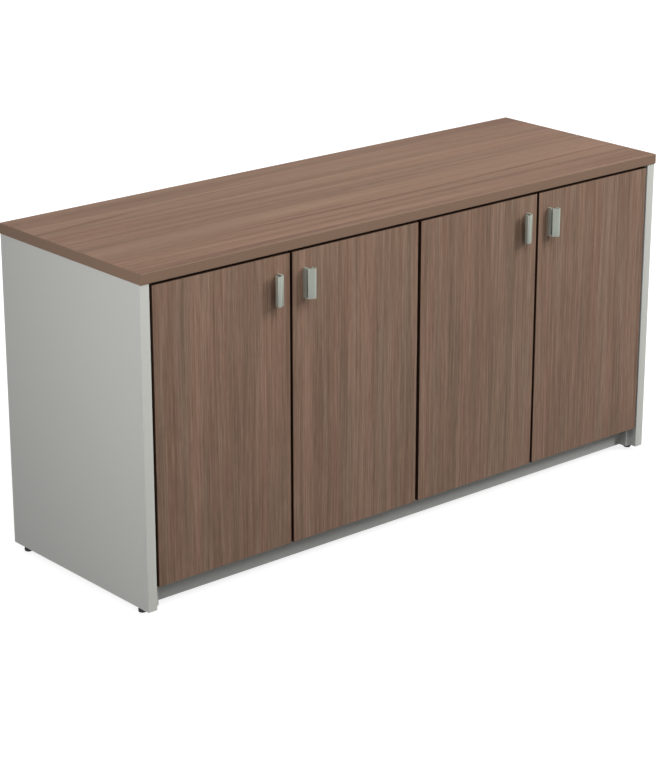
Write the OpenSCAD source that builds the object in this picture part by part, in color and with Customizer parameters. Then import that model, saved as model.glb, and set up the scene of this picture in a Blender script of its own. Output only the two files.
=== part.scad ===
// Office credenza: two door cases side by side between full-height gables, under one long worktop.
// Millimetres. +X runs to the right and +Z up; the doors face -Y.
// The origin is on the floor, under the middle of the whole piece, handles included.

/* [Worktop] */
// Length of the worktop, left to right
top_w = 1828.8; // [1600:0.1:2100]
// Depth of the worktop, front to back
top_d = 609.6; // [450:0.1:760]
// Thickness of the worktop
top_t = 28.6; // [22:0.1:40]
// Height of the worktop's upper face above the floor
total_h = 904; // [720:1:1100]
// Overhang of the worktop past the doors, and past the back of the cases
top_overhang = 2.4; // [0:0.1:20]
// Overhang of the worktop past the outer face of each gable
top_side_overhang = 1.5; // [0:0.1:20]
// Thickness of the edge band round the worktop
top_band_t = 3; // [2.6:0.1:4]
// Rounding of the edges of the worktop
top_edge_r = 2.2; // [0.5:0.1:2.5]

/* [Gables] */
// Thickness of each gable
gable_t = 28; // [22:0.1:36]
// Thickness of the bands on the front and back edges of a gable
gable_band_t = 3; // [2:0.1:4]
// How far the middle of a gable's edge band stands out past its two corners
gable_crown = 0.8; // [0.2:0.1:1.5]
// Rounding of the corners of a gable's edge band
gable_r = 2.2; // [1:0.1:3]

/* [Cases] */
// Thickness of the boards of the cases
board_t = 19; // [16:0.1:22]
// Thickness of the back panels
back_t = 6.4; // [3:0.1:10]
// Width of the rabbet that a case side has for the back panel
rabbet_w = 9.5; // [5:0.1:12]
// Height of the shelf above the case's floor
shelf_rise = 370; // [250:1:480]
// Gap between an end of the shelf and the case side
shelf_gap = 1; // [0.3:0.1:4]
// Distance from the front of the case to the front of the shelf
shelf_setback = 15; // [5:1:60]
// Pitch of the holes for the shelf pins
hole_pitch = 32; // [25:1:50]
// Number of holes in each row for the shelf pins
hole_count = 5; // [1:1:7]

/* [Base] */
// Height of the glides, from the floor to the bottom of the gables
glide_h = 15; // [12:0.5:25]
// Radius of a glide's pad
glide_r = 11; // [8:0.5:13]
// Distance from the front of the doors to the middle of the front glides
glide_setback = 46; // [30:1:90]
// Height of the kick plate
kick_h = 63; // [50:1:120]
// Thickness of the kick plate
kick_t = 16; // [12:0.5:22]
// Distance from the front of the doors to the front of the kick plate
kick_setback = 47; // [35:1:90]

/* [Doors] */
// Thickness of a door
door_t = 19; // [17:0.1:24]
// Thickness of the edge band round a door
door_band_t = 2; // [1:0.1:3]
// Rounding of the edges of a door
door_edge_r = 0.9; // [0.2:0.1:0.9]
// Gap between the worktop and the doors
door_top_gap = 6.5; // [3:0.1:12]
// Gap between the two doors of a case
door_pair_gap = 8; // [4:0.1:12]
// Distance that a door reaches below the floor of its case
door_drop = 2; // [0:0.1:8]
// Distance from a hinge to the nearer end of its door
hinge_inset = 100; // [70:1:200]

/* [Handles] */
// Height of a handle
handle_h = 80; // [60:1:140]
// Distance from the top of a door to the top of its handle
handle_drop = 47; // [20:1:200]
// Distance from the free edge of a door to its handle
handle_inset = 35; // [20:1:80]
// Width of a handle, across its front face
handle_w = 24; // [20.5:0.5:36]
// How far the far edge of a handle stands out from the door
handle_proud = 28.8; // [27:0.1:40]
// How far the edge nearest the free edge of the door stands out
handle_low = 19.5; // [18:0.1:21]
// Thickness of the handle's face and of its hook
handle_t = 3; // [2:0.1:3.4]
// Outer rounding of a handle where its face turns into the hook
handle_turn_r = 6.5; // [5:0.1:7.5]
// Outer rounding of the hook's end
handle_curl_r = 5; // [4.5:0.1:6]
// Distance between the hook and the door
handle_finger = 11.5; // [8:0.5:12.5]
// Distance between the handle's two screws
handle_centres = 50; // [30:1:60]

/* [Hinges] */
// Radius of the boring for a hinge cup
cup_r = 17.5; // [15:0.1:18]
// Depth of the boring for a hinge cup
cup_depth = 13; // [12.5:0.1:14]
// Wood left between the boring and the edge of the door
cup_tab = 3; // [2.5:0.1:6]
// Wall of the hinge cup
cup_wall = 0.8; // [0.6:0.1:1]
// Thickness of the hinge cup's flange
flange_t = 0.8; // [0.6:0.1:1.2]
// Radius of the hinge pin
pin_r = 1.5; // [1.2:0.1:1.6]
// Thickness of the hinge arm
arm_t = 2.5; // [1.5:0.1:2.5]
// Clearance between the swinging corner of a door and a gable
gable_swing_clear = 2.2; // [1:0.1:6]
// Clearance between the two doors that meet in the middle, when both swing
centre_swing_clear = 1; // [0.5:0.1:6]

/* [Hidden] */
$fn = 48;

// Clearances and small allowances
seat = 0.05;             // round a fastener or pin in its hole, within one body
run_clear = 0.05;        // round a hinge pin that turns in the cup
touch = 0.3;             // between a bumper or stop and what it meets
over = 1;                // how far a cut runs past the face that it leaves

// The door edge's swing about the hinge pin sets the gaps round the doors
pin_u = cup_tab + 4;                       // pin to the hinge edge of the door
pin_back = 9.5;                            // pin to the back face of the door
pin_v = door_t - pin_back;                 // pin to the front face of the door
front_swing = norm([pin_u, pin_v]);        // radius that the door's front corner swings through
back_swing = norm([pin_u, pin_back]);      // radius that the door's back corner swings through
gable_gap = front_swing - pin_u + gable_swing_clear;
centre_gap = 2 * (front_swing - pin_u) + centre_swing_clear;
case_setback = pin_v + back_swing + 0.7;   // front of the doors to the front of the cases

// Places along Y
total_d = top_d - top_overhang + handle_proud;
door_y = -total_d / 2 + handle_proud;      // front of the doors and gables
top_y = door_y - top_overhang;
case_y = door_y + case_setback;
rear_y = top_y + top_d - top_overhang;     // back of the gables and cases
back_y = rear_y - back_t;                  // front of the back panels
kick_y = door_y + kick_setback;
floor_d = back_y - case_y;

// Places along X, with the left half at negative X
gable_x = top_w / 2 - top_side_overhang;   // outer face of a gable
case_x = gable_x - gable_t;                // outer face of a case
side_x = case_x - board_t;                 // inner face of an outer case side
door_w = (case_x - gable_gap - centre_gap / 2 - door_pair_gap) / 2;
inner_w = side_x - board_t;                // clear width between the sides of a case

// Places along Z
case_top_z = total_h - top_t;
case_floor_z = glide_h + kick_h;           // underside of the case floor
shelf_hole_z = case_floor_z + board_t + shelf_rise;
door_z0 = case_floor_z - door_drop;
door_z1 = case_top_z - door_top_gap;
door_h = door_z1 - door_z0;
hinge_zs = [door_z0 + hinge_inset, door_z1 - hinge_inset];
handle_z = door_z1 - handle_drop - handle_h;

// Doors, left to right: [X of the hinge edge, 1 if the door runs to the right of it or -1,
// distance from the hinge edge to the inner face of the side that carries the hinges]
outer_side_u = board_t - gable_gap;
inner_side_u = board_t - centre_gap / 2;
DOORS = [
    [-case_x + gable_gap, 1, outer_side_u],
    [-centre_gap / 2, -1, inner_side_u],
    [centre_gap / 2, 1, inner_side_u],
    [case_x - gable_gap, -1, outer_side_u],
];

// Hinge hardware, as distances from the hinge edge (u), from the front of the door (v)
cup_u = cup_tab + cup_r;
cup_v = door_t - cup_depth;
knuckle_r = 2.5;
knuckle_w = 8;
pin_l = 13.6;
lug_gap = 0.3;
lug_out = 3.5;                             // how far a lug reaches past the pin's axis
arm_clear = 1;
arm_u = max(pin_u + pin_back + flange_t + arm_clear, outer_side_u + 2.6, inner_side_u + 2.6);
arm_w = 18;
arm_reach = 62;                            // length of the arm inside the case
arm_v1 = case_setback + arm_reach;         // back end of the arm
arm_wide_v = door_t + 6;                   // where the arm widens behind the door
arm_rim_t = 1.5;                           // rims along the arm's wide part
arm_rim_v = arm_wide_v + 4;                // where they start
plate_v = case_setback + 37;               // middle of the mounting plate
arm_screw_v = plate_v + 10;                // the screw that clamps the arm on the plate
plate_l = 40;
plate_w = 14;
wing_l = 18;
wing_w = 52;
wing_t = 2.5;
wing_centres = 32;
wing_screw_r = 2.5;
wing_screw_l = 13;
wing_head_r = 4;
wing_head_t = 1.5;
flange_r = 18.4;
flange_ear = 31;
cup_screw_u = cup_u + 9.5;
cup_screw_z = 22.5;
cup_screw_r = 1.75;
cup_screw_l = 9;
cup_head_r = 3.35;
cup_head_t = 1;
stop_t = 1.2;                              // wall of an opening limiter
stop_v0 = pin_v + 2;                       // front of an opening limiter
stop_v1 = pin_v + 8;                       // and its back, which meets the rim of the cup

// Fasteners of the cases
joint_zs = [case_floor_z + board_t / 2, case_top_z - board_t / 2];
dowel_r = 4;
dowel_l = 30;
dowel_in = 12;                             // part of a dowel inside the case side
dowel_ys = [case_y + 45, back_y - 45];
cam_r = 7.5;
cam_h = 12.5;
cam_back = 24;                             // middle of a cam to the end of its board
cam_low = board_t / 2 - cam_h;             // lower end of a cam that is let in from above
cam_rod_r = 3.5;
cam_rod_in = 11;
cam_from_end = 100;
cam_ys = [case_y + cam_from_end, back_y - cam_from_end];
screw_from_end = 130;                      // gable screws and case bolts, from the case's front and back
screw_from_door = 190;                     // and from the ends of the doors
screw_zs = [door_z0 + screw_from_door, door_z1 - screw_from_door];
screw_ys = [case_y + screw_from_end, back_y - screw_from_end];
screw_r = 2.5;
screw_head_r = 5;
screw_head_t = 2.5;
gable_bite = 16;                           // length of a gable screw inside the gable
top_bite = 18;
top_screw_from_side = 120;
top_screw_from_end = 80;
top_screw_xs = [side_x - top_screw_from_side, board_t + top_screw_from_side];
top_screw_ys = [case_y + top_screw_from_end, back_y - top_screw_from_end];
bolt_r = 4;
bolt_head_r = 8;
bolt_head_t = 2;

// Shelf pins, levelling feet and kick brackets
shelf_pin_r = 2.5;
shelf_pin_in = 10;
shelf_pin_out = 9;
pin_collar_r = 4;
pin_collar_t = 1;
paddle_w = 10;
paddle_t = 2;
shelf_hole_l = 12;
shelf_pin_ys = [case_y + 60, back_y - 60];
pad_h = 9;
pad_bevel = 1.5;
pad_round = 1;
stem_r = 4;
stem_in = 25;
insert_r = 6;
gable_glide_ys = [door_y + glide_setback, rear_y - glide_setback];
leveller_x = 33;
leveller_r = 14;
leveller_ys = [kick_y + kick_t + 45, back_y - 45];
bracket_t = 2.5;
bracket_w = 36;
bracket_z = glide_h + 5;                   // underside of a leveller's bracket
bracket_h = kick_h - 15;
bracket_past = 12;                         // how far it reaches past the foot's stem
nut_h = 4;
nut_r = 7;
kick_bracket_leg = 26;
kick_bracket_w = 30;
kick_bracket_t = 2;
kick_bracket_xs = [for (k = [1, 3, 5]) k * side_x / 6];

bumper_r = 4.5;
bumper_in = 25;
bumper_from_top = 8;
bumper_round = 1.6;

// Handle screws
handle_screw_r = 2;
handle_bite = 10;                          // depth of their holes in the handle
handle_head_r = 4;
handle_head_t = 2;

WOOD = [0.52, 0.43, 0.36];
WOOD_EDGE = [0.46, 0.38, 0.32];
GREY = [0.72, 0.72, 0.70];
GREY_EDGE = [0.78, 0.78, 0.76];
BOARD = [0.80, 0.80, 0.78];
NICKEL = [0.66, 0.67, 0.65];
STEEL = [0.55, 0.56, 0.58];
ZINC = [0.70, 0.70, 0.68];
DARK = [0.20, 0.20, 0.21];
BEECH = [0.78, 0.64, 0.46];

// ---- helpers -------------------------------------------------------------

// Rectangle with its corner at the origin and rounded corners
module rounded_rect(a, b, r) {
    translate([r, 0]) square([a - 2 * r, b]);
    translate([0, r]) square([a, b - 2 * r]);
    for (x = [r, a - r], y = [r, b - r]) translate([x, y]) circle(r);
}

// Board lying flat, with the edges along X and Y of its two faces rounded
module eased_board(w, d, t, r) {
    intersection() {
        translate([0, d, 0]) rotate([90, 0, 0]) linear_extrude(d) rounded_rect(w, t, r);
        rotate([90, 0, 90]) linear_extrude(w) rounded_rect(d, t, r);
    }
}

// Band round the four edges of an eased board
module edge_band(w, d, t, r, band) {
    difference() {
        eased_board(w, d, t, r);
        translate([band, band, -over]) cube([w - 2 * band, d - 2 * band, t + 2 * over]);
    }
}

module box(low, high) {
    translate(low) cube(high - low);
}

// Bar of round section along X, and the same along Y
module rod_x(r, l) {
    rotate([0, 90, 0]) cylinder(r = r, h = l);
}

module rod_y(r, l) {
    rotate([-90, 0, 0]) cylinder(r = r, h = l);
}

// Turns what is drawn towards +X to face -X where way is negative. It also puts a piece of
// the right half of the credenza (way = 1) in the left half (way = -1)
module facing(way) {
    if (way < 0) mirror([1, 0, 0]) children();
    else children();
}

module halves() {
    for (way = [-1, 1]) facing(way) children();
}

// The inner faces of the two sides of the right case, each with its X and the way it faces
case_faces = [[board_t, 1], [side_x, -1]];

// Points of an arc round c
function arc(c, r, from, to, n = 8) =
    [for (k = [0:n]) c + r * [cos(from + (to - from) * k / n), sin(from + (to - from) * k / n)]];

// Frame of door i: +X from the hinge edge to the free edge, +Y from the front to the back
module at_door(i) {
    translate([DOORS[i][0], door_y, 0]) facing(DOORS[i][1]) children();
}

module at_hinges(i) {
    at_door(i) for (z = hinge_zs) translate([0, 0, z]) children();
}

// ---- worktop -------------------------------------------------------------

module top_panel() {
    color(WOOD) difference() {
        translate([-top_w / 2 + top_band_t, top_y + top_band_t, case_top_z])
            cube([top_w - 2 * top_band_t, top_d - 2 * top_band_t, top_t]);
        top_screw_holes(case_top_z - over, top_bite + over);
    }
}

module top_edge_band() {
    color(WOOD_EDGE) translate([-top_w / 2, top_y, case_top_z])
        edge_band(top_w, top_d, top_t, top_edge_r, top_band_t);
}

module top_screw_holes(z, l) {
    halves() for (x = top_screw_xs, y = top_screw_ys)
        translate([x, y, z]) cylinder(r = screw_r + seat, h = l);
}

module top_screws() {
    color(STEEL) halves() for (x = top_screw_xs, y = top_screw_ys)
        translate([x, y, case_top_z - board_t]) {
            cylinder(r = screw_r, h = board_t + top_bite);
            translate([0, 0, -screw_head_t]) cylinder(r = screw_head_r, h = screw_head_t);
        }
}

// ---- gables --------------------------------------------------------------

module gable(s) {
    color(GREY) facing(s) difference() {
        box([case_x, door_y + gable_band_t, glide_h], [gable_x, rear_y - gable_band_t, case_top_z]);
        gable_screw_holes(case_x - over, gable_bite + over);
        for (y = gable_glide_ys) translate([case_x + gable_t / 2, y, glide_h - over])
            cylinder(r = insert_r + seat, h = stem_in + over);
    }
}

// Plan of the band on the front edge of a gable: crowned, with rounded corners
module gable_band_plan() {
    half_t = gable_t / 2;
    crown_r = (half_t * half_t + gable_crown * gable_crown) / (2 * gable_crown);
    intersection() {
        rounded_rect(gable_t, 4 * gable_band_t, gable_r);
        translate([half_t, crown_r]) circle(crown_r, $fn = 360);
        square([gable_t, gable_band_t]);
    }
}

module gable_bands(s) {
    color(GREY_EDGE) facing(s) translate([case_x, 0, glide_h]) linear_extrude(case_top_z - glide_h) {
        translate([0, door_y]) gable_band_plan();
        translate([0, rear_y]) mirror([0, 1]) gable_band_plan();
    }
}

module gable_screw_holes(x, l) {
    for (y = screw_ys, z = screw_zs) translate([x, y, z]) rod_x(screw_r + seat, l);
}

module gable_screws() {
    color(STEEL) halves() for (y = screw_ys, z = screw_zs) translate([side_x, y, z]) {
        rod_x(screw_r, board_t + gable_bite);
        translate([-screw_head_t, 0, 0]) rod_x(screw_head_r, screw_head_t);
    }
}

// ---- cases ---------------------------------------------------------------

// Holes in the inner face of a case side, which faces as case_faces says
module side_holes(face) {
    translate([face[0], 0, 0]) facing(-face[1]) translate([-over, 0, 0]) {
        for (y = shelf_pin_ys, k = [0:hole_count - 1])
            translate([0, y, shelf_hole_z + (k - (hole_count - 1) / 2) * hole_pitch])
                rod_x(shelf_pin_r + seat, shelf_hole_l + over);
        for (z = joint_zs) {
            for (y = dowel_ys) translate([0, y, z]) rod_x(dowel_r + seat, dowel_in + over);
            for (y = cam_ys) translate([0, y, z]) rod_x(cam_rod_r + seat, cam_rod_in + over);
        }
        for (z = hinge_zs, dz = [-1, 1] * wing_centres / 2)
            translate([0, door_y + plate_v, z + dz]) rod_x(wing_screw_r + seat, wing_screw_l + over);
    }
}

module rabbet(x) {
    box([x, back_y, glide_h - over], [x + rabbet_w + over, rear_y + over, case_top_z + over]);
}

module outer_side(s) {
    color(BOARD) facing(s) difference() {
        box([side_x, case_y, glide_h], [case_x, rear_y, case_top_z]);
        rabbet(side_x - over);
        side_holes(case_faces[1]);
        gable_screw_holes(side_x - over, board_t + 2 * over);
    }
}

// The inner sides are cut back at the foot, for the kick plate to run past them
module inner_side(s) {
    color(BOARD) facing(s) difference() {
        box([0, case_y, glide_h], [board_t, rear_y, case_top_z]);
        rabbet(board_t - rabbet_w);
        side_holes(case_faces[0]);
        box([-over, case_y - over, glide_h - over], [board_t + over, kick_y + kick_t, case_floor_z]);
        for (y = screw_ys, z = screw_zs)
            translate([-over, y, z]) rod_x(bolt_r + seat, board_t + 2 * over);
    }
}

// Borings in a floor or top board of a case: dowels and cam rods in its two ends,
// and cams from the face that nothing shows on, which faces up (up = 1) or down (up = -1)
module board_end_holes(z, up) {
    for (face = case_faces) translate([face[0], 0, z]) facing(face[1]) {
        for (y = dowel_ys) translate([-over, y, 0]) rod_x(dowel_r + seat, dowel_l - dowel_in + over);
        for (y = cam_ys) {
            translate([-over, y, 0]) rod_x(cam_rod_r + seat, cam_back + over);
            translate([cam_back, y, up > 0 ? cam_low : -board_t / 2 - over])
                cylinder(r = cam_r + seat, h = cam_h + over);
        }
    }
}

module case_floor(s) {
    color(BOARD) facing(s) difference() {
        box([board_t, case_y, case_floor_z], [side_x, back_y, case_floor_z + board_t]);
        board_end_holes(joint_zs[0], -1);
    }
}

module case_top(s) {
    color(BOARD) facing(s) difference() {
        box([board_t, case_y, case_top_z - board_t], [side_x, back_y, case_top_z]);
        board_end_holes(joint_zs[1], 1);
        for (x = top_screw_xs, y = top_screw_ys) translate([x, y, case_top_z - board_t - over])
            cylinder(r = screw_r + seat, h = board_t + 2 * over);
    }
}

module back_panel(s) {
    color(BOARD) facing(s)
        box([board_t - rabbet_w, back_y, glide_h], [side_x + rabbet_w, rear_y, case_top_z]);
}

module case_dowels() {
    color(BEECH) halves() for (face = case_faces, z = joint_zs, y = dowel_ys)
        translate([face[0], y, z]) facing(face[1]) translate([-dowel_in, 0, 0]) rod_x(dowel_r, dowel_l);
}

// Cams, each with the rod that it draws in from the side board
module case_cams() {
    color(ZINC) halves() for (face = case_faces, k = [0, 1], y = cam_ys)
        translate([face[0], y, joint_zs[k]]) facing(face[1]) {
            translate([-cam_rod_in, 0, 0]) rod_x(cam_rod_r, cam_rod_in + cam_back);
            translate([cam_back, 0, k == 0 ? -board_t / 2 : cam_low]) cylinder(r = cam_r, h = cam_h);
        }
}

// Bolts that hold the two cases together through their inner sides
module case_bolts() {
    color(STEEL) for (y = screw_ys, z = screw_zs) translate([-board_t, y, z]) {
        rod_x(bolt_r, 2 * board_t);
        for (x = [-bolt_head_t, 2 * board_t]) translate([x, 0, 0]) rod_x(bolt_head_r, bolt_head_t);
    }
}

// ---- shelves -------------------------------------------------------------

module shelf(s) {
    color(BOARD) facing(s) translate([board_t + shelf_gap, case_y + shelf_setback, shelf_hole_z + shelf_pin_r])
        cube([inner_w - 2 * shelf_gap, floor_d - shelf_setback - shelf_gap, board_t]);
}

module shelf_pins() {
    color(ZINC) halves() for (face = case_faces, y = shelf_pin_ys)
        translate([face[0], y, shelf_hole_z]) facing(face[1]) {
            translate([-shelf_pin_in, 0, 0]) rod_x(shelf_pin_r, shelf_pin_in + shelf_pin_out);
            rod_x(pin_collar_r, pin_collar_t);
            box([0, -paddle_w / 2, shelf_pin_r - paddle_t], [shelf_pin_out, paddle_w / 2, shelf_pin_r]);
        }
}

// ---- base ----------------------------------------------------------------

module kick_plate() {
    color(GREY) box([-side_x, kick_y, glide_h], [side_x, kick_y + kick_t, case_floor_z]);
}

module kick_brackets() {
    color(STEEL) halves() for (x = kick_bracket_xs)
        translate([x - kick_bracket_w / 2, kick_y + kick_t, case_floor_z - kick_bracket_leg]) {
            cube([kick_bracket_w, kick_bracket_t, kick_bracket_leg]);
            translate([0, 0, kick_bracket_leg - kick_bracket_t])
                cube([kick_bracket_w, kick_bracket_leg, kick_bracket_t]);
        }
}

// Levelling foot: a pad with a bevelled lower rim, and its stem
module foot(r, stem_top) {
    rotate_extrude() polygon([
        [0, 0], [r - pad_bevel, 0], [r, pad_bevel], [r, pad_h - pad_round], [r - pad_round, pad_h],
        [stem_r, pad_h], [stem_r, stem_top], [0, stem_top],
    ]);
}

module gable_glides() {
    color(DARK) halves() for (y = gable_glide_ys)
        translate([case_x + gable_t / 2, y, 0]) foot(glide_r, glide_h + stem_in - 2);
}

module glide_inserts() {
    color(ZINC) halves() for (y = gable_glide_ys) translate([case_x + gable_t / 2, y, glide_h])
        difference() {
            cylinder(r = insert_r, h = stem_in);
            translate([0, 0, -over]) cylinder(r = stem_r + seat, h = stem_in + 2 * over);
        }
}

module centre_levellers() {
    color(DARK) halves() for (y = leveller_ys) translate([leveller_x, y, 0]) {
        foot(leveller_r, case_floor_z - 12);
        translate([0, 0, bracket_z - nut_h]) cylinder(r = nut_r, h = nut_h, $fn = 6);
    }
}

module leveller_brackets() {
    color(STEEL) halves() for (y = leveller_ys) difference() {
        translate([board_t, y - bracket_w / 2, bracket_z]) {
            cube([bracket_t, bracket_w, bracket_h]);
            cube([leveller_x - board_t + bracket_past, bracket_w, bracket_t]);
        }
        translate([leveller_x, y, bracket_z - over]) cylinder(r = stem_r + seat, h = bracket_t + 2 * over);
    }
}

// ---- doors ---------------------------------------------------------------

module door_panel(i) {
    color(WOOD) at_door(i) difference() {
        box([door_band_t, 0, door_z0 + door_band_t],
            [door_w - door_band_t, door_t, door_z1 - door_band_t]);
        for (z = hinge_zs) translate([0, 0, z]) {
            translate([cup_u, cup_v, 0]) rod_y(cup_r, cup_depth + over);
            for (dz = [-1, 1] * cup_screw_z) translate([cup_screw_u, door_t - cup_screw_l, dz])
                rod_y(cup_screw_r + seat, cup_screw_l + over);
        }
        handle_screw_places() translate([0, -over, 0]) rod_y(handle_screw_r + seat, door_t + 2 * over);
    }
}

module door_band(i) {
    color(WOOD_EDGE) at_door(i) translate([0, door_t, door_z0]) rotate([90, 0, 0])
        edge_band(door_w, door_h, door_t, door_edge_r, door_band_t);
}

// Pads with a rounded rim, which meet the case when a door is shut
module door_bumpers(i) {
    h = case_setback - door_t - touch;
    rim = [bumper_r - bumper_round, h - bumper_round];
    color(DARK) at_door(i) for (z = [case_floor_z + board_t / 2, door_z1 - bumper_from_top])
        translate([door_w - bumper_in, door_t, z]) rotate([-90, 0, 0])
            rotate_extrude() polygon(concat([[0, 0], [bumper_r, 0]], arc(rim, bumper_round, 0, 90), [[0, h]]));
}

// Section of a handle: x runs from the edge nearest the door's free edge, y out from the door.
// A leg stands on the door, with a groove down its side; the face leans out from it and turns
// through a wide curve into the hook that the fingers take
leg_w = 8;
groove_x = 5.5;
groove_y = 13.7;
face_x = 0.5;
curl_turn = 75;
edge = handle_t / 2;
near_edge = [face_x + edge, handle_low - edge / 2];
turn_mid = [handle_w - handle_turn_r, handle_proud - handle_turn_r];
curl_mid = [handle_w - handle_curl_r, handle_finger + handle_curl_r];
curl_end = curl_mid + (handle_curl_r - edge) * [cos(curl_turn), -sin(curl_turn)];
face_run = turn_mid - near_edge;
lean = atan2(face_run[1], face_run[0]) + asin((handle_turn_r - edge) / norm(face_run));
function face_back(x) = near_edge[1] - edge * cos(lean) + (x - near_edge[0] - edge * sin(lean)) * tan(lean);
function handle_section() = concat(
    [[0, 0], [leg_w, 0], [leg_w, face_back(leg_w)]],
    arc(turn_mid, handle_turn_r - handle_t, 90 + lean, 0, 10),
    arc(curl_mid, handle_curl_r - handle_t, 0, -curl_turn),
    arc(curl_end, edge, 180 - curl_turn, 360 - curl_turn),
    arc(curl_mid, handle_curl_r, -curl_turn, 0),
    arc(turn_mid, handle_turn_r, 0, 90 + lean, 12),
    arc(near_edge, edge, 90 + lean, 270 + lean),
    [[groove_x, face_back(groove_x)], [groove_x, groove_y], [0, groove_y]]
);

// Where the handle screws go through the door
handle_screw_u = door_w - handle_inset - leg_w / 2;
module handle_screw_places() {
    for (dz = [-1, 1] * handle_centres / 2)
        translate([handle_screw_u, 0, handle_z + handle_h / 2 + dz]) children();
}

module door_handle(i) {
    color(NICKEL) at_door(i) difference() {
        translate([door_w - handle_inset, 0, handle_z]) linear_extrude(handle_h)
            rotate(180) polygon(handle_section());
        handle_screw_places() translate([0, -handle_bite, 0]) rod_y(handle_screw_r + seat, handle_bite + over);
    }
}

// Two handle screws, put in from the back of the door, and the screws of the hinge cups
module door_screws(i) {
    color(STEEL) at_door(i) {
        handle_screw_places() {
            translate([0, 1 - handle_bite, 0]) rod_y(handle_screw_r, door_t + handle_bite - 1);
            translate([0, door_t, 0]) rod_y(handle_head_r, handle_head_t);
        }
        for (z = hinge_zs, dz = [-1, 1] * cup_screw_z) translate([cup_screw_u, door_t, z + dz]) {
            translate([0, 1 - cup_screw_l, 0]) rod_y(cup_screw_r, cup_screw_l - 1 + flange_t);
            translate([0, flange_t, 0]) rod_y(cup_head_r, cup_head_t);
        }
    }
}

// ---- hinges --------------------------------------------------------------

// Pressed cup with its flange, and two lugs inside that the pin runs in
module hinge_cup() {
    inner_r = cup_r - cup_wall;
    lug_z = knuckle_w / 2 + lug_gap;
    difference() {
        union() {
            difference() {
                translate([cup_u, cup_v, 0]) rod_y(cup_r - seat, cup_depth);
                translate([cup_u, cup_v + cup_wall, 0]) rod_y(inner_r, cup_depth);
            }
            intersection() {
                translate([cup_u, cup_v + cup_wall / 2, 0]) rod_y(inner_r + cup_wall / 2, cup_depth);
                for (z = [lug_z, -lug_z - lug_out])
                    box([cup_tab, cup_v + cup_wall / 2, z], [pin_u + lug_out, pin_v + lug_out, z + lug_out]);
            }
            translate([0, door_t, 0]) rotate([-90, 0, 0]) linear_extrude(flange_t) flange_plan(inner_r);
        }
        translate([pin_u, pin_v, -cup_r]) cylinder(r = pin_r + run_clear, h = 2 * cup_r);
    }
}

module flange_plan(inner_r) {
    difference() {
        union() {
            translate([cup_u, 0]) circle(flange_r);
            translate([cup_u + 1, -flange_ear]) rounded_rect(17, 2 * flange_ear, 4);
        }
        translate([cup_u, 0]) circle(inner_r);
        for (y = [-1, 1] * cup_screw_z) translate([cup_screw_u, y]) circle(cup_screw_r + seat);
    }
}

module door_hinge_cups(i) {
    color(ZINC) at_hinges(i) hinge_cup();
}

// Arm: a knuckle round the pin, a neck along the cup, an elbow out of it, and a channel
// that sits over the mounting plate
module hinge_arm() {
    neck_w = knuckle_w;
    difference() {
        union() {
            translate([pin_u, pin_v, -neck_w / 2]) cylinder(r = knuckle_r, h = neck_w);
            box([pin_u, pin_v - arm_t / 2, -neck_w / 2], [arm_u + arm_t, pin_v + arm_t / 2, neck_w / 2]);
            box([arm_u, pin_v - arm_t / 2, -neck_w / 2], [arm_u + arm_t, arm_wide_v, neck_w / 2]);
            box([arm_u, arm_wide_v, -arm_w / 2], [arm_u + arm_t, arm_v1, arm_w / 2]);
            for (z = [-arm_w / 2, arm_w / 2 - arm_rim_t])
                box([arm_u - arm_rim_t, arm_rim_v, z], [arm_u + arm_t, arm_v1, z + arm_rim_t]);
        }
        translate([pin_u, pin_v, -neck_w]) cylinder(r = pin_r + seat, h = 2 * neck_w);
        translate([arm_u - over, arm_screw_v, 0]) rod_x(wing_screw_r + seat, arm_t + 2 * over);
    }
}

module hinge_arms() {
    color(ZINC) for (i = [0:3]) at_hinges(i) hinge_arm();
}

module hinge_pins() {
    color(STEEL) for (i = [0:3]) at_hinges(i)
        translate([pin_u, pin_v, -pin_l / 2]) cylinder(r = pin_r, h = pin_l);
}

// Winged plate on the inner face of a case side
module hinge_plate(side_u) {
    difference() {
        union() {
            box([side_u, plate_v - plate_l / 2, -plate_w / 2], [arm_u, plate_v + plate_l / 2, plate_w / 2]);
            box([side_u, plate_v - wing_l / 2, -wing_w / 2],
                [side_u + wing_t, plate_v + wing_l / 2, wing_w / 2]);
        }
        for (z = [-1, 1] * wing_centres / 2)
            translate([side_u - over, plate_v, z]) rod_x(wing_screw_r + seat, wing_t + 2 * over);
        translate([arm_u - 3, arm_screw_v, 0]) rod_x(wing_screw_r + seat, 3 + over);
    }
}

module hinge_plates() {
    color(ZINC) for (i = [0:3]) at_hinges(i) hinge_plate(DOORS[i][2]);
}

// Two screws through each plate's wings into the side, and one that clamps the arm on the plate
module hinge_screws() {
    color(STEEL) for (i = [0:3]) at_hinges(i) {
        for (z = [-1, 1] * wing_centres / 2) translate([DOORS[i][2] + wing_t, plate_v, z]) {
            rod_x(wing_head_r, wing_head_t);
            mirror([1, 0, 0]) rod_x(wing_screw_r, wing_t + wing_screw_l - 1);
        }
        translate([arm_u - 2.5, arm_screw_v, 0]) {
            rod_x(wing_screw_r, arm_t + 3);
            translate([arm_t + 2.5, 0, 0]) rod_x(wing_head_r, wing_head_t);
        }
    }
}

// Clip round the neck of each arm of the two middle doors. The rim of the cup meets it and
// stops the door short of a right angle, so that the two handles never meet
module limiter() {
    neck = knuckle_w / 2 + seat;
    difference() {
        box([arm_u - stop_t, stop_v0, -neck - stop_t], [arm_u + arm_t + stop_t, stop_v1, neck + stop_t]);
        box([arm_u - seat / 2, stop_v0 - over, -neck], [arm_u + arm_t + seat / 2, stop_v1 + over, neck]);
    }
}

module opening_limiters() {
    color(DARK) for (i = [1, 2]) at_hinges(i) limiter();
}

// ---- nodes ---------------------------------------------------------------

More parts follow.
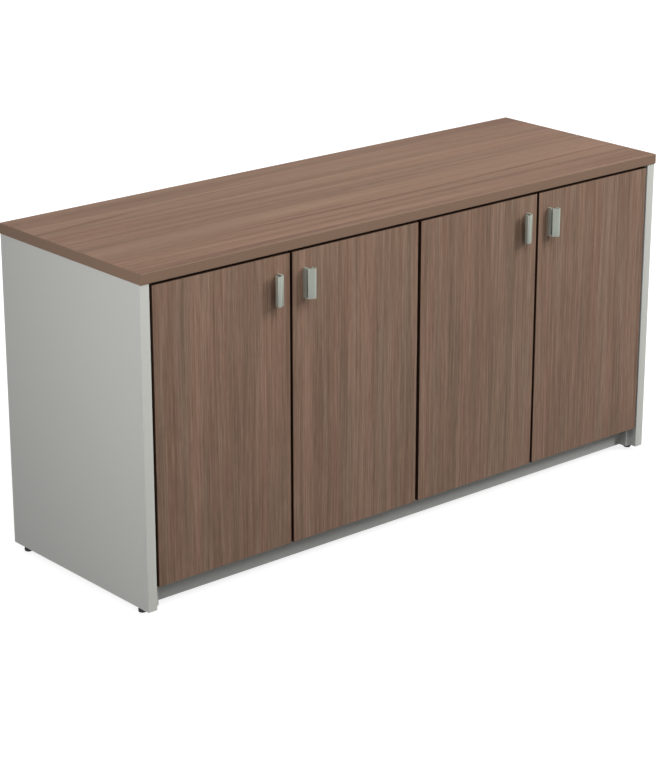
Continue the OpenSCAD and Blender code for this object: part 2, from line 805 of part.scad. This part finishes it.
top_panel();
top_edge_band();
gable(-1);  // left_gable
gable(1);  // right_gable
gable_bands(-1);  // left_gable_bands
gable_bands(1);  // right_gable_bands
outer_side(-1);  // left_outer_side
inner_side(-1);  // left_inner_side
inner_side(1);  // right_inner_side
outer_side(1);  // right_outer_side
case_floor(-1);  // left_case_floor
case_floor(1);  // right_case_floor
case_top(-1);  // left_case_top
case_top(1);  // right_case_top
back_panel(-1);  // left_back_panel
back_panel(1);  // right_back_panel
shelf(-1);  // left_shelf
shelf(1);  // right_shelf
shelf_pins();
kick_plate();
kick_brackets();
gable_glides();
glide_inserts();
centre_levellers();
leveller_brackets();
top_screws();
gable_screws();
case_bolts();
case_dowels();
case_cams();
hinge_arms();
hinge_plates();
hinge_pins();
hinge_screws();
opening_limiters();
door_panel(0);  // door_1
door_band(0);  // door_1_band
door_handle(0);  // door_1_handle
door_screws(0);  // door_1_screws
door_hinge_cups(0);  // door_1_hinge_cups
door_bumpers(0);  // door_1_bumpers
door_panel(1);  // door_2
door_band(1);  // door_2_band
door_handle(1);  // door_2_handle
door_screws(1);  // door_2_screws
door_hinge_cups(1);  // door_2_hinge_cups
door_bumpers(1);  // door_2_bumpers
door_panel(2);  // door_3
door_band(2);  // door_3_band
door_handle(2);  // door_3_handle
door_screws(2);  // door_3_screws
door_hinge_cups(2);  // door_3_hinge_cups
door_bumpers(2);  // door_3_bumpers
door_panel(3);  // door_4
door_band(3);  // door_4_band
door_handle(3);  // door_4_handle
door_screws(3);  // door_4_screws
door_hinge_cups(3);  // door_4_hinge_cups
door_bumpers(3);  // door_4_bumpers
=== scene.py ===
import math

import bmesh
import bpy
import numpy as np
from mathutils import Matrix, Vector


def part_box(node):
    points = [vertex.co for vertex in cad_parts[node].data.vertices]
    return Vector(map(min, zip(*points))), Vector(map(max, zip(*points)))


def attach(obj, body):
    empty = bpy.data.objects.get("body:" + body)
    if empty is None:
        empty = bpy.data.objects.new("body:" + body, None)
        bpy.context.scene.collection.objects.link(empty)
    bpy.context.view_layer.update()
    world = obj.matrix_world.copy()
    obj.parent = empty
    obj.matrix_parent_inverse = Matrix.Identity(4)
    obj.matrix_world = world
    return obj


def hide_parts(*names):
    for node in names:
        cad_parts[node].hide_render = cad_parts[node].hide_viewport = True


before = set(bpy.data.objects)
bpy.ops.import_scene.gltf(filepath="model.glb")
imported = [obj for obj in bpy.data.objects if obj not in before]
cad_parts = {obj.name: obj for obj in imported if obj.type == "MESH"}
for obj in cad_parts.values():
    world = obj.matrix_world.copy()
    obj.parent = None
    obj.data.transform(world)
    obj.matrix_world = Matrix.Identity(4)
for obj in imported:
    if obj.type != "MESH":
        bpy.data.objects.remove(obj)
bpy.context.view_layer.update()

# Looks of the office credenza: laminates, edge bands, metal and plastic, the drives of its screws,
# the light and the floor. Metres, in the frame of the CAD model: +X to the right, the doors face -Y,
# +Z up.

MM = 0.001
X, Y, Z = 0, 1, 2
SIDES = ("left", "right")
DOORS = ("door_1", "door_2", "door_3", "door_4")


# ---- colours -----------------------------------------------------------------------------------

def srgb(red, green, blue):
    """Linear colour of an sRGB colour that is given from 0 to 255."""
    def linear(value):
        value /= 255
        return value / 12.92 if value <= 0.04045 else ((value + 0.055) / 1.055) ** 2.4
    return (linear(red), linear(green), linear(blue), 1)


# ---- node trees --------------------------------------------------------------------------------

class NodeTree:
    """The node tree of a material or a world, built with short calls."""

    def __init__(self, owner):
        owner.use_nodes = True
        self.tree = owner.node_tree
        self.tree.nodes.clear()

    def put(self, value, socket):
        """Links an output socket, or sets a plain value."""
        if isinstance(value, bpy.types.NodeSocket):
            self.tree.links.new(value, socket)
        else:
            socket.default_value = value

    def node(self, kind, inputs=None, **settings):
        """Adds a node. inputs holds values or output sockets by the name or number of the input."""
        made = self.tree.nodes.new(kind)
        for key, value in settings.items():
            setattr(made, key, value)
        for key, value in (inputs or {}).items():
            self.put(value, made.inputs[key])
        return made

    def math(self, operation, a, b=0.0):
        return self.node("ShaderNodeMath", {0: a, 1: b}, operation=operation).outputs[0]

    def range(self, value, low, high, to_low=0.0, to_high=1.0):
        """Takes the values from low to high to those from to_low to to_high, and stops at both ends."""
        inputs = {"Value": value, "From Min": low, "From Max": high, "To Min": to_low, "To Max": to_high}
        return self.node("ShaderNodeMapRange", inputs).outputs["Result"]


class Shader(NodeTree):
    """A material with one principled shader. The calls below return an output socket, apart from set
    and bump, which fill the shader's own sockets."""

    def __init__(self, name):
        self.material = bpy.data.materials.new(name)
        super().__init__(self.material)
        self.principled = self.node("ShaderNodeBsdfPrincipled")
        self.node("ShaderNodeOutputMaterial", {"Surface": self.principled.outputs["BSDF"]})

    def set(self, **values):
        """Puts values in the principled shader's sockets: base_color is the socket Base Color, and
        specular the socket Specular IOR Level."""
        for key, value in values.items():
            socket = "Specular IOR Level" if key == "specular" else key.replace("_", " ").title()
            self.put(value, self.principled.inputs[socket])

    def bump(self, height, depth, strength):
        """Relief: height runs from 0 to 1 and stands for depth metres."""
        inputs = {"Height": height, "Distance": depth, "Strength": strength}
        self.put(self.node("ShaderNodeBump", inputs).outputs["Normal"], self.principled.inputs["Normal"])

    def place(self):
        return self.node("ShaderNodeTexCoord").outputs["Object"]

    def scaled(self, vector, scale):
        return self.node("ShaderNodeVectorMath", {0: vector, 1: scale}, operation="MULTIPLY").outputs[0]

    def moved(self, vector, offset):
        """Adds an offset. A constant one gives another stretch of the same noise."""
        return self.node("ShaderNodeVectorMath", {0: vector, 1: offset}, operation="ADD").outputs[0]

    def noise(self, vector, scale=1, detail=2, roughness=0.5):
        inputs = {"Vector": vector, "Scale": scale, "Detail": detail, "Roughness": roughness}
        return self.node("ShaderNodeTexNoise", inputs).outputs["Fac"]

    def grain(self, vector, axis, along, across, detail=2, roughness=0.5):
        """Noise that is drawn out along an axis. It has the scale along, per metre, on that axis and
        the scale across on the other two."""
        scale = [across] * 3
        scale[axis] = along
        return self.noise(self.scaled(vector, scale), detail=detail, roughness=roughness)

    def weighed(self, terms, middle=0.5):
        """The sum of middle and each weight times its value's distance from a half."""
        total = middle
        for weight, value in terms:
            distance = self.math("SUBTRACT", value, 0.5)
            total = self.math("ADD", total, self.math("MULTIPLY", distance, weight))
        return total

    def ramp(self, value, stops):
        made = self.node("ShaderNodeValToRGB", {"Fac": value})
        points = made.color_ramp.elements
        while len(points) < len(stops):
            points.new(0.5)
        for point, (position, colour) in zip(points, stops):
            point.position = position
            point.color = colour
        return made.outputs["Color"]

    def mix(self, factor, a, b, blend="MIX"):
        """Mixes two colours, which are the sockets 6 and 7 of the node."""
        inputs = {0: factor, 6: a, 7: b}
        return self.node("ShaderNodeMix", inputs, data_type="RGBA", blend_type=blend).outputs[2]

    def shaded(self, colour, terms):
        """The colour, made lighter and darker by weighed values."""
        value = self.weighed(terms, middle=1.0)
        shade = self.node("ShaderNodeCombineColor", {0: value, 1: value, 2: value}).outputs[0]
        return self.mix(1.0, colour, shade, blend="MULTIPLY")

    def facing(self, axis, low, high):
        """1 on faces that look along the axis, either way, and 0 where the share of their normal
        along it is below low."""
        normal = self.node("ShaderNodeTexCoord").outputs["Normal"]
        part = self.node("ShaderNodeSeparateXYZ", {0: normal}).outputs[axis]
        return self.range(self.math("ABSOLUTE", part), low, high)


# ---- materials ---------------------------------------------------------------------------------

def vein_lines(s, here, grain, across):
    """Long thin lines along the grain: 1 on a line and 0 beside it. A slow noise pushes them about,
    and another lets them come and go."""
    lines_per_metre, push_in_gaps = 6.5, 1.7
    half_width, faded_at = 0.006, 0.04  # shares of the gap between two lines
    place = s.node("ShaderNodeSeparateXYZ", {0: here}).outputs[across]
    slow = s.grain(s.moved(here, (1.9, 0.7, 2.3)), grain, 0.35, 4, detail=1)
    push = s.math("MULTIPLY", slow, push_in_gaps)
    level = s.math("FRACT", s.math("ADD", s.math("MULTIPLY", place, lines_per_metre), push))
    off_line = s.math("ABSOLUTE", s.math("SUBTRACT", level, 0.5))
    line = s.range(off_line, half_width, faded_at, 1.0, 0.0)
    shown = s.range(s.grain(s.moved(here, (5.1, 4.3, 0.9)), grain, 1.2, 7, detail=1), 0.42, 0.6)
    return s.math("MULTIPLY", line, shown)


def wood(name, grain, across, tones, weights, start=(0, 0, 0), veins=0.0, tinted=1.0, edge=None):
    """Woodgrain laminate, or wood.

    grain is the axis that the grain follows, and across the other axis on the face.
    tones are the dark, middle and light colours.
    weights gives the strength of the bands, streaks, lines, hairs and flecks of the grain.
    start shifts the grain, and veins is the strength of a few long thin dark lines.
    tinted is the share of the drift in hue.
    edge is the colour of the faces that don't look along the third axis, if it is another one; on the
    doors this dark brown is painted shade for the gaps between and round them."""
    s = Shader(name)
    here = s.moved(s.place(), start)

    # the grain wanders a few millimetres sideways
    wander = s.grain(here, grain, 1.7, 5, detail=1)
    sideways = s.math("MULTIPLY", s.math("SUBTRACT", wander, 0.5), 8 * MM)
    here = s.moved(here, s.node("ShaderNodeCombineXYZ", {across: sideways}).outputs[0])

    figures = {
        "bands": s.grain(here, grain, 0.5, 15),
        "streaks": s.grain(here, grain, 1.3, 60),
        "lines": s.grain(here, grain, 3.6, 210, detail=4, roughness=0.62),
        "hairs": s.grain(here, grain, 9, 560),
        "flecks": s.grain(here, grain, 24, 190),
    }
    pores = s.range(s.grain(here, grain, 28, 1150, detail=1), 0.62, 0.74)
    tone = s.weighed([(weights[kind], figure) for kind, figure in figures.items()])
    tone = s.math("SUBTRACT", tone, s.math("MULTIPLY", pores, 0.3 * weights["hairs"]))
    if veins:
        tone = s.math("SUBTRACT", tone, s.math("MULTIPLY", vein_lines(s, here, grain, across), veins))
    dark, middle, light = tones
    colour = s.ramp(tone, [(0.08, dark), (0.5, middle), (0.92, light)])

    # the hue drifts from reddish to olive between neighbouring streaks
    reddish, olive = (1.045, 0.982, 0.97, 1), (0.962, 1.015, 1.005, 1)
    hue = s.range(s.grain(s.moved(here, (3.1, 7.7, 5.3)), grain, 1.2, 32), 0.3, 0.7)
    colour = s.mix(tinted, colour, s.mix(hue, reddish, olive), blend="MULTIPLY")
    # on the doors the edge faces get a dark brown: painted shade for the narrow gaps between and round the
    # doors
    if edge:
        third = 3 - grain - across
        colour = s.mix(s.facing(third, 0.9, 0.98), edge, colour)

    roughness = s.math("ADD", 0.46, s.math("MULTIPLY", figures["lines"], 0.12))
    s.set(base_color=colour, roughness=roughness, specular=0.15)
    relief = s.math("SUBTRACT", s.math("MULTIPLY", figures["hairs"], 0.6), s.math("MULTIPLY", pores, 0.6))
    s.bump(relief, 0.05 * MM, 0.6)
    return s.material


def edge_band(name, colour):
    """Extruded plastic band: one colour with a faint cloud and a fine pebbled skin."""
    contrast = 0.012
    s = Shader(name)
    here = s.place()
    mottle = s.noise(here, scale=160, detail=3)
    cloud = s.noise(here, scale=9)
    skin = s.noise(here, scale=1600)
    s.set(base_color=s.shaded(colour, [(contrast * 2, mottle), (contrast, cloud)]), specular=0.3)
    s.set(roughness=s.range(skin, 0.3, 0.7, 0.44, 0.54))
    s.bump(skin, 0.03 * MM, 0.5)
    return s.material


def plain_laminate(name, colour):
    """Melamine or laminate of one colour, with a faint cloud and a fine suede texture."""
    s = Shader(name)
    here = s.place()
    cloud = s.noise(here, scale=3.5, detail=3)
    suede = s.noise(here, scale=900, roughness=0.7)
    s.set(base_color=s.shaded(colour, [(0.02, cloud), (0.032, suede)]), specular=0.35)
    s.set(roughness=s.range(suede, 0.3, 0.7, 0.46, 0.56))
    s.bump(suede, 0.04 * MM, 0.5)
    return s.material


def satin_metal(name, colour, brush, metallic, roughness):
    """Satin plate over metal that was brushed along the axis brush."""
    s = Shader(name)
    here = s.place()
    lines = s.grain(here, brush, 45, 2600, detail=3, roughness=0.6)
    cloud = s.noise(here, scale=45)
    s.set(base_color=s.shaded(colour, [(0.08, lines), (0.032, cloud)]), metallic=metallic, anisotropic=0.3)
    s.set(roughness=s.range(lines, 0.25, 0.75, roughness - 0.07, roughness + 0.08))
    s.bump(lines, 0.012 * MM, 0.6)
    return s.material


def plated_metal(name, colour, roughness, stain=0.12):
    """Zinc or nickel plate on pressed steel or die casting: cloudy, with small dull spots."""
    s = Shader(name)
    here = s.place()
    cloud = s.noise(here, scale=70, detail=4, roughness=0.65)
    spots = s.noise(here, scale=700)
    s.set(base_color=s.shaded(colour, [(stain, cloud), (stain * 0.5, spots)]), metallic=1.0)
    s.set(roughness=s.range(cloud, 0.3, 0.7, roughness - 0.06, roughness + 0.1))
    s.bump(spots, 0.01 * MM, 0.5)
    return s.material


def moulded_plastic(name, colour, roughness=0.5):
    """Injection-moulded plastic with a fine spark-eroded skin."""
    s = Shader(name)
    here = s.place()
    skin = s.noise(here, scale=2400)
    cloud = s.noise(here, scale=60)
    s.set(base_color=s.shaded(colour, [(0.1, cloud), (0.12, skin)]), specular=0.4)
    s.set(roughness=s.range(skin, 0.3, 0.7, roughness - 0.06, roughness + 0.08))
    s.bump(skin, 0.02 * MM, 0.5)
    return s.material


TOP_WOOD = dict(
    grain=X, across=Y, start=(0.4, 0.7, 0), veins=0.42, tinted=0.65,
    tones=(srgb(107, 78, 61), srgb(132, 102, 83), srgb(150, 120, 99)),
    weights=dict(bands=1.15, streaks=0.6, lines=0.45, hairs=0.12, flecks=0.4))
DOOR_WOOD = dict(
    grain=Z, across=X, start=(4.2, 0, 1.3),
    tones=(srgb(105, 84, 69), srgb(129, 104, 88), srgb(151, 126, 109)),
    weights=dict(bands=0.6, streaks=0.6, lines=1.42, hairs=0.9, flecks=0.4))
DOWEL_WOOD = dict(
    grain=X, across=Y,
    tones=(srgb(176, 138, 98), srgb(200, 164, 122), srgb(216, 184, 144)),
    weights=dict(bands=0.9, streaks=1.1, lines=1.25, hairs=0.5, flecks=0.3))

top_laminate = wood("top_laminate", **TOP_WOOD)
top_band = wood("top_band", **TOP_WOOD, edge=srgb(128, 104, 87))
door_laminate = wood("door_laminate", **DOOR_WOOD)
# the dark brown on the door edges is painted shade, so that the gaps between and round the doors read dark
door_band = wood("door_band", **DOOR_WOOD, edge=srgb(56, 38, 27))
grey_laminate = plain_laminate("grey_laminate", srgb(198, 198, 194))
grey_band = edge_band("grey_band", srgb(203, 203, 197))
case_board = plain_laminate("case_board", srgb(202, 202, 198))
satin_nickel = satin_metal("satin_nickel", srgb(166, 171, 161), Z, metallic=0.3, roughness=0.36)
hinge_zinc = plated_metal("hinge_zinc", srgb(190, 190, 186), roughness=0.28, stain=0.08)
zinc_steel = plated_metal("zinc_steel", srgb(176, 178, 182), roughness=0.34)
glide_black = moulded_plastic("glide_black", srgb(38, 38, 40))
soft_plastic = moulded_plastic("soft_plastic", srgb(44, 44, 45), roughness=0.42)
beech = wood("beech", **DOWEL_WOOD)


def cover(material, *nodes):
    """Gives CAD nodes their material."""
    for node in nodes:
        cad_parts[node].material_slots[0].material = material


cover(top_laminate, "top_panel")
cover(top_band, "top_edge_band")
cover(grey_laminate, "kick_plate", *[f"{side}_gable" for side in SIDES])
cover(grey_band, *[f"{side}_gable_bands" for side in SIDES])
for side in SIDES:
    for part in ("outer_side", "inner_side", "case_floor", "case_top", "back_panel", "shelf"):
        cover(case_board, f"{side}_{part}")
for door in DOORS:
    cover(door_laminate, door)
    cover(door_band, f"{door}_band")
    cover(satin_nickel, f"{door}_handle")
    cover(zinc_steel, f"{door}_screws")
    cover(hinge_zinc, f"{door}_hinge_cups")
    cover(soft_plastic, f"{door}_bumpers")
cover(hinge_zinc, "hinge_arms", "hinge_plates", "shelf_pins", "case_cams", "glide_inserts")
cover(zinc_steel, "hinge_pins", "hinge_screws", "kick_brackets", "leveller_brackets",
      "top_screws", "gable_screws", "case_bolts")
cover(glide_black, "gable_glides", "centre_levellers", "opening_limiters")
cover(beech, "case_dowels")


# ---- detailed pieces ---------------------------------------------------------------------------

def add_piece(name, mesh, material, body, slot, *replaced):
    """Adds a mesh as a piece that rides on a body and stands for the named CAD nodes."""
    mesh.materials.clear()
    mesh.materials.append(material)
    piece = bpy.data.objects.new(name, mesh)
    bpy.context.scene.collection.objects.link(piece)
    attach(piece, body)
    if replaced:
        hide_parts(*replaced)


def whole_mesh(node):
    """A node's mesh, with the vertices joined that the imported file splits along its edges."""
    shape = bmesh.new()
    shape.from_mesh(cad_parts[node].data)
    bmesh.ops.remove_doubles(shape, verts=shape.verts, dist=0.001 * MM)
    return shape


def ease_edges(node, material, body, slot, width):
    """Replaces a node by a copy with its sharp edges rounded, as pressing or milling leaves them."""
    shape = whole_mesh(node)
    bmesh.ops.dissolve_limit(shape, angle_limit=math.radians(1), verts=shape.verts, edges=shape.edges)
    for face in shape.faces:
        face.smooth = True
    mesh = bpy.data.meshes.new("sharp")
    shape.to_mesh(mesh)
    shape.free()
    sharp = bpy.data.objects.new("sharp", mesh)
    bpy.context.scene.collection.objects.link(sharp)
    bevel = sharp.modifiers.new("bevel", "BEVEL")
    bevel.width = width
    bevel.segments = 2
    bevel.limit_method = "ANGLE"
    bevel.angle_limit = math.radians(32)
    bevel.harden_normals = True
    eased = bpy.data.meshes.new_from_object(sharp.evaluated_get(bpy.context.evaluated_depsgraph_get()))
    bpy.data.objects.remove(sharp)
    bpy.data.meshes.remove(mesh)
    eased.name = f"{node}_eased"
    add_piece(eased.name, eased, material, body, slot, node)


def solids_of(node):
    """The points of each separate solid of a node, one array for each."""
    shape = whole_mesh(node)
    waiting = set(shape.verts)
    solids = []
    for start in shape.verts:
        if start not in waiting:
            continue
        waiting.discard(start)
        pile, points = [start], []
        while pile:
            vert = pile.pop()
            points.append(tuple(vert.co))
            for other in [edge.other_vert(vert) for edge in vert.link_edges]:
                if other in waiting:
                    waiting.discard(other)
                    pile.append(other)
        solids.append(np.array(points))
    shape.free()
    return solids


class Screw:
    """The sizes of a screw and where it sits, in metres. Its seat is the plane under its head."""

    def __init__(self, head_radius, head_height, shank_radius, shank_length, seat, look):
        self.head_radius, self.head_height = head_radius, head_height
        self.shank_radius, self.shank_length = shank_radius, shank_length
        self.seat, self.look = Vector(seat), Vector(look)

    @classmethod
    def read(cls, points, way=None):
        """Reads a screw from the points of its solid. way is the end that its head is at along its
        axis, 1 or -1, or None for the wider end."""
        near = 0.01 * MM  # points this close lie on one plane or one circle
        off_axis = 0.3 * MM  # a point nearer the axis than this lies on it
        low, high = points.min(0), points.max(0)
        middle, spans = (low + high) / 2, high - low
        axis = min(range(3), key=lambda k: abs(spans[k - 1] - spans[k - 2]))
        along = points[:, axis] - middle[axis]
        across = np.delete(points - middle, axis, axis=1)
        radii = np.hypot(across[:, 0], across[:, 1])
        half = spans[axis] / 2
        wide = {end: radii[end * along > half - near].max() for end in (1, -1)}
        way = way or max(wide, key=wide.get)
        head = (radii > wide[way] - near) & (way * along > 0)
        seat_along = (way * along[head]).min()
        look = [0, 0, 0]
        look[axis] = way
        return cls(head_radius=wide[way], head_height=half - seat_along,
                   shank_radius=radii[radii > off_axis].min(), shank_length=seat_along + half,
                   seat=Vector(middle) + Vector(look) * seat_along, look=look)

    def place(self, turn):
        """Takes what is drawn along +Z, with its seat at the origin, to where the screw is."""
        looking = self.look.to_track_quat("Z", "Y").to_matrix().to_4x4()
        return Matrix.Translation(self.seat) @ looking @ Matrix.Rotation(turn, 4, "Z")


def cross_drive(radius):
    """Outline of a cross recess in a head of the given radius."""
    reach, half = 0.62 * radius, 0.15 * radius
    arm = [Vector(point) for point in ((reach, -half), (reach, half), (half, half))]
    return [Matrix.Rotation(quarter * math.pi / 2, 2) @ point for quarter in range(4) for point in arm]


def hexagon_drive(radius):
    """Outline of a socket for a hexagon key."""
    return [Matrix.Rotation(side * math.pi / 3, 2) @ Vector((0.36 * radius, 0)) for side in range(6)]


def slot_drive(radius):
    """Outline of a screwdriver slot."""
    reach, half = 0.66 * radius, 0.13 * radius
    return [Vector(point) for point in ((reach, -half), (reach, half), (-reach, half), (-reach, -half))]


def draw_screw(shape, screw, drive, turn):
    """Draws a screw with a domed head. drive gives the outline of the recess in its head."""
    head, height = screw.head_radius, screw.head_height
    shank, length = screw.shank_radius, screw.shank_length
    tip = 0.6 * shank
    profile = [(tip, -length), (shank, -length + tip), (shank, 0), (head, 0)]
    crown, rim_height = 0.74 * head, 0.35 * height
    for angle in [math.radians(degrees) for degrees in range(0, 91, 18)]:
        profile.append((crown + (head - crown) * math.cos(angle),
                        rim_height + (height - rim_height) * math.sin(angle)))
    sides = 40
    turns = [2 * math.pi * side / sides for side in range(sides)]
    rings = [[shape.verts.new((radius * math.cos(angle), radius * math.sin(angle), z)) for angle in turns]
             for radius, z in profile]
    taper, depth = 0.6, 0.3 * head
    outline = drive(head)
    rim = [shape.verts.new((x, y, height)) for x, y in outline]
    bottom = [shape.verts.new((taper * x, taper * y, height - depth)) for x, y in outline]

    def around(loop):
        """The pairs of neighbours in a closed loop."""
        return zip(loop, loop[1:] + loop[:1])

    def join(lower, upper):
        """Faces between two loops with as many points."""
        for (a, b), (c, d) in zip(around(lower), around(upper)):
            shape.faces.new((a, b, d, c))

    shape.faces.new(rings[0])
    for lower, upper in zip(rings, rings[1:]):
        join(lower, upper)
    bridge = [shape.edges.get(pair) for pair in around(rings[-1])]
    bridge += [shape.edges.new(pair) for pair in around(rim)]
    bmesh.ops.bridge_loops(shape, edges=bridge)
    join(rim, bottom)
    shape.faces.new(bottom)
    drawn = [vert for ring in rings for vert in ring] + rim + bottom
    bmesh.ops.transform(shape, matrix=screw.place(turn), verts=drawn)


def add_screws(name, screws, drive, body, *replaced):
    """Adds screws of zinc-plated steel as one piece, each turned a different way."""
    golden_angle = 2.4  # radians
    shape = bmesh.new()
    for index, screw in enumerate(screws):
        draw_screw(shape, screw, drive, golden_angle * index)
    bmesh.ops.recalc_face_normals(shape, faces=shape.faces)
    mesh = bpy.data.meshes.new(name)
    shape.to_mesh(mesh)
    shape.free()
    mesh.shade_smooth()
    mesh.set_sharp_from_angle(angle=math.radians(35))
    add_piece(name, mesh, zinc_steel, body, "zinc_steel", *replaced)


def detail_screws(node, drive, body):
    """Replaces the plain screws of a node."""
    add_screws(f"{node}_driven", [Screw.read(points) for points in solids_of(node)], drive, body, node)


def detail_case_bolts():
    """The bolts between the cases: a sleeve and a screw that meet in the middle, each with a head."""
    bolts = []
    for points in solids_of("case_bolts"):
        for way in (1, -1):
            half_bolt = Screw.read(points, way)
            half_bolt.shank_length = (half_bolt.shank_length - half_bolt.head_height) / 2
            bolts.append(half_bolt)
    add_screws("case_bolts_driven", bolts, hexagon_drive, "cabinet", "case_bolts")


def add_adjusting_screws():
    """The screw on each hinge arm that shifts the door sideways. It sits between the door and the
    arm's clamping screw, which is the short one of the hinge's screws."""
    nearer_door = Vector((0, -22 * MM, 0))
    adjusting = []
    for points in solids_of("hinge_screws"):
        clamp = Screw.read(points)
        if clamp.shank_length < 2 * clamp.head_radius:
            adjusting.append(Screw(head_radius=3 * MM, head_height=0.6 * MM, shank_radius=2 * MM,
                                   shank_length=2.4 * MM, seat=clamp.seat + nearer_door, look=clamp.look))
    add_screws("hinge_adjusting_screws", adjusting, slot_drive, "cabinet")


def add_back_panel_screws(side):
    """Small screws round the edge of a back panel, into the boards of its case."""
    inset, pitch = 5 * MM, 190 * MM

    def middle_height(board):
        low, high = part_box(f"{side}_case_{board}")
        return (low[Z] + high[Z]) / 2

    def spread(start, end):
        count = round((end - start) / pitch)
        return [start + (end - start) * k / count for k in range(count + 1)]

    low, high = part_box(f"{side}_back_panel")
    floor, top = middle_height("floor"), middle_height("top")
    columns = spread(low[X] + inset, high[X] - inset)
    places = [(x, z) for z in spread(floor, top) for x in (columns[0], columns[-1])]
    places += [(x, z) for x in columns[1:-1] for z in (floor, top)]
    screws = [Screw(head_radius=3 * MM, head_height=0.9 * MM, shank_radius=1.5 * MM, shank_length=12 * MM,
                    seat=(x, high[Y], z), look=(0, 1, 0)) for x, z in places]
    add_screws(f"{side}_back_panel_screws", screws, cross_drive, "cabinet")


for door in DOORS:
    ease_edges(f"{door}_handle", satin_nickel, door, "satin_nickel", 0.3 * MM)
    ease_edges(f"{door}_hinge_cups", hinge_zinc, door, "hinge_zinc", 0.2 * MM)
    detail_screws(f"{door}_screws", cross_drive, door)
for node, material, slot, width in (
        ("hinge_arms", hinge_zinc, "hinge_zinc", 0.4 * MM),
        ("hinge_plates", hinge_zinc, "hinge_zinc", 0.4 * MM),
        ("shelf_pins", hinge_zinc, "hinge_zinc", 0.25 * MM),
        ("opening_limiters", glide_black, "soft_plastic", 0.3 * MM),
        ("kick_brackets", zinc_steel, "zinc_steel", 0.4 * MM),
        ("leveller_brackets", zinc_steel, "zinc_steel", 0.4 * MM),
        ("kick_plate", grey_laminate, "grey_laminate", 0.5 * MM),
        ("left_shelf", case_board, "case_board", 0.5 * MM),
        ("right_shelf", case_board, "case_board", 0.5 * MM)):
    ease_edges(node, material, "cabinet", slot, width)
for node in ("hinge_screws", "gable_screws", "top_screws"):
    detail_screws(node, cross_drive, "cabinet")
detail_case_bolts()
add_adjusting_screws()
for side in SIDES:
    add_back_panel_screws(side)


# ---- stage -------------------------------------------------------------------------------------

def white_to_camera(nodes, seen, lit):
    """Mixes two shaders: what the camera, reflections and clear parts see, and what lights the object."""
    rays = nodes.node("ShaderNodeLightPath")
    looking = rays.outputs["Is Camera Ray"]
    for other in ("Is Glossy Ray", "Is Transmission Ray"):
        looking = nodes.math("MAXIMUM", looking, rays.outputs[other])
    return nodes.node("ShaderNodeMixShader", {0: looking, 1: lit, 2: seen}).outputs[0]


def make_world(ambient):
    """Bright surroundings for the camera and for reflections, and a dimmer light from all round."""
    world = bpy.data.worlds.new("studio")
    bpy.context.scene.world = world
    nodes = NodeTree(world)
    seen, lit = [nodes.node("ShaderNodeBackground", {"Strength": strength}).outputs[0]
                 for strength in (1.0, ambient)]
    nodes.node("ShaderNodeOutputWorld", {"Surface": white_to_camera(nodes, seen, lit)})


def make_floor(half_width, albedo_seen, glow, albedo_lit, white_from, white_at):
    """Pale floor. The camera sees it almost white, with the object's soft shadow, and quite white
    further out, where less light falls: the glow grows to 1 between the two distances."""
    material = bpy.data.materials.new("floor")
    nodes = NodeTree(material)
    painted, lit = [nodes.node("ShaderNodeBsdfDiffuse", {"Color": (albedo, albedo, albedo, 1)}).outputs[0]
                    for albedo in (albedo_seen, albedo_lit)]
    place = nodes.node("ShaderNodeNewGeometry").outputs["Position"]
    distance = nodes.node("ShaderNodeVectorMath", {0: place}, operation="LENGTH").outputs["Value"]
    growth = nodes.range(distance, white_from, white_at, glow, 1.0)
    glowing = nodes.node("ShaderNodeEmission", {"Strength": growth}).outputs[0]
    seen = nodes.node("ShaderNodeAddShader", {0: painted, 1: glowing}).outputs[0]
    nodes.node("ShaderNodeOutputMaterial", {"Surface": white_to_camera(nodes, seen, lit)})

    shape = bmesh.new()
    bmesh.ops.create_grid(shape, x_segments=1, y_segments=1, size=half_width)
    mesh = bpy.data.meshes.new("floor")
    shape.to_mesh(mesh)
    shape.free()
    mesh.materials.append(material)
    floor = bpy.data.objects.new("floor", mesh)
    bpy.context.scene.collection.objects.link(floor)


def make_lamp(name, turn, rise, distance, strength):
    """Round soft box that looks at the credenza. turn is its place in degrees, from the front (0)
    over the right (90), and rise its height in degrees. A white face at aim that looks at the box
    gets the given share of full light."""
    aim = Vector((0, 0, 0.5))
    lamp = bpy.data.lights.new(name, "AREA")
    lamp.shape = "DISK"
    lamp.size = 1.6
    lamp.energy = strength * (math.pi * distance) ** 2
    around, up = math.radians(turn), math.radians(rise)
    way = Vector((math.sin(around) * math.cos(up), -math.cos(around) * math.cos(up), math.sin(up)))
    light = bpy.data.objects.new(name, lamp)
    light.location = aim + way * distance
    light.rotation_mode = "QUATERNION"
    light.rotation_quaternion = way.to_track_quat("Z", "Y")
    bpy.context.scene.collection.objects.link(light)


def make_camera(place, turn_right, look_down, focal_length):
    """Camera that looks along +Y, turned to the right and down by degrees. focal_length is in
    millimetres, for a sensor 36 mm wide."""
    lens = bpy.data.cameras.new("camera")
    lens.sensor_width = 36
    lens.lens = focal_length
    lens.clip_end = 100
    camera = bpy.data.objects.new("camera", lens)
    camera.location = place
    camera.rotation_euler = (math.radians(90 - look_down), 0, math.radians(-turn_right))
    bpy.context.scene.collection.objects.link(camera)
    bpy.context.scene.camera = camera


make_world(ambient=0.35)
make_floor(half_width=40, albedo_seen=0.34, glow=0.84, albedo_lit=0.08, white_from=1.2, white_at=3)
for name, turn, rise, distance, strength in (
        ("front", -8, 55, 3.0, 0.36),
        ("front_right", 46, 28, 6.5, 0.36),
        ("high_right", 46, 45, 6.5, 0.28),
        ("left", -74, 13, 2.2, 0.26),
        ("right", 88, 16, 3.8, 0.14),
        ("back", 190, 8, 3.8, 0.3)):
    make_lamp(name, turn, rise, distance, strength)
make_camera((-4.169, -4.778, 2.572), turn_right=40.72, look_down=19.4, focal_length=113.0)
bpy.context.scene.view_settings.view_transform = "Standard"
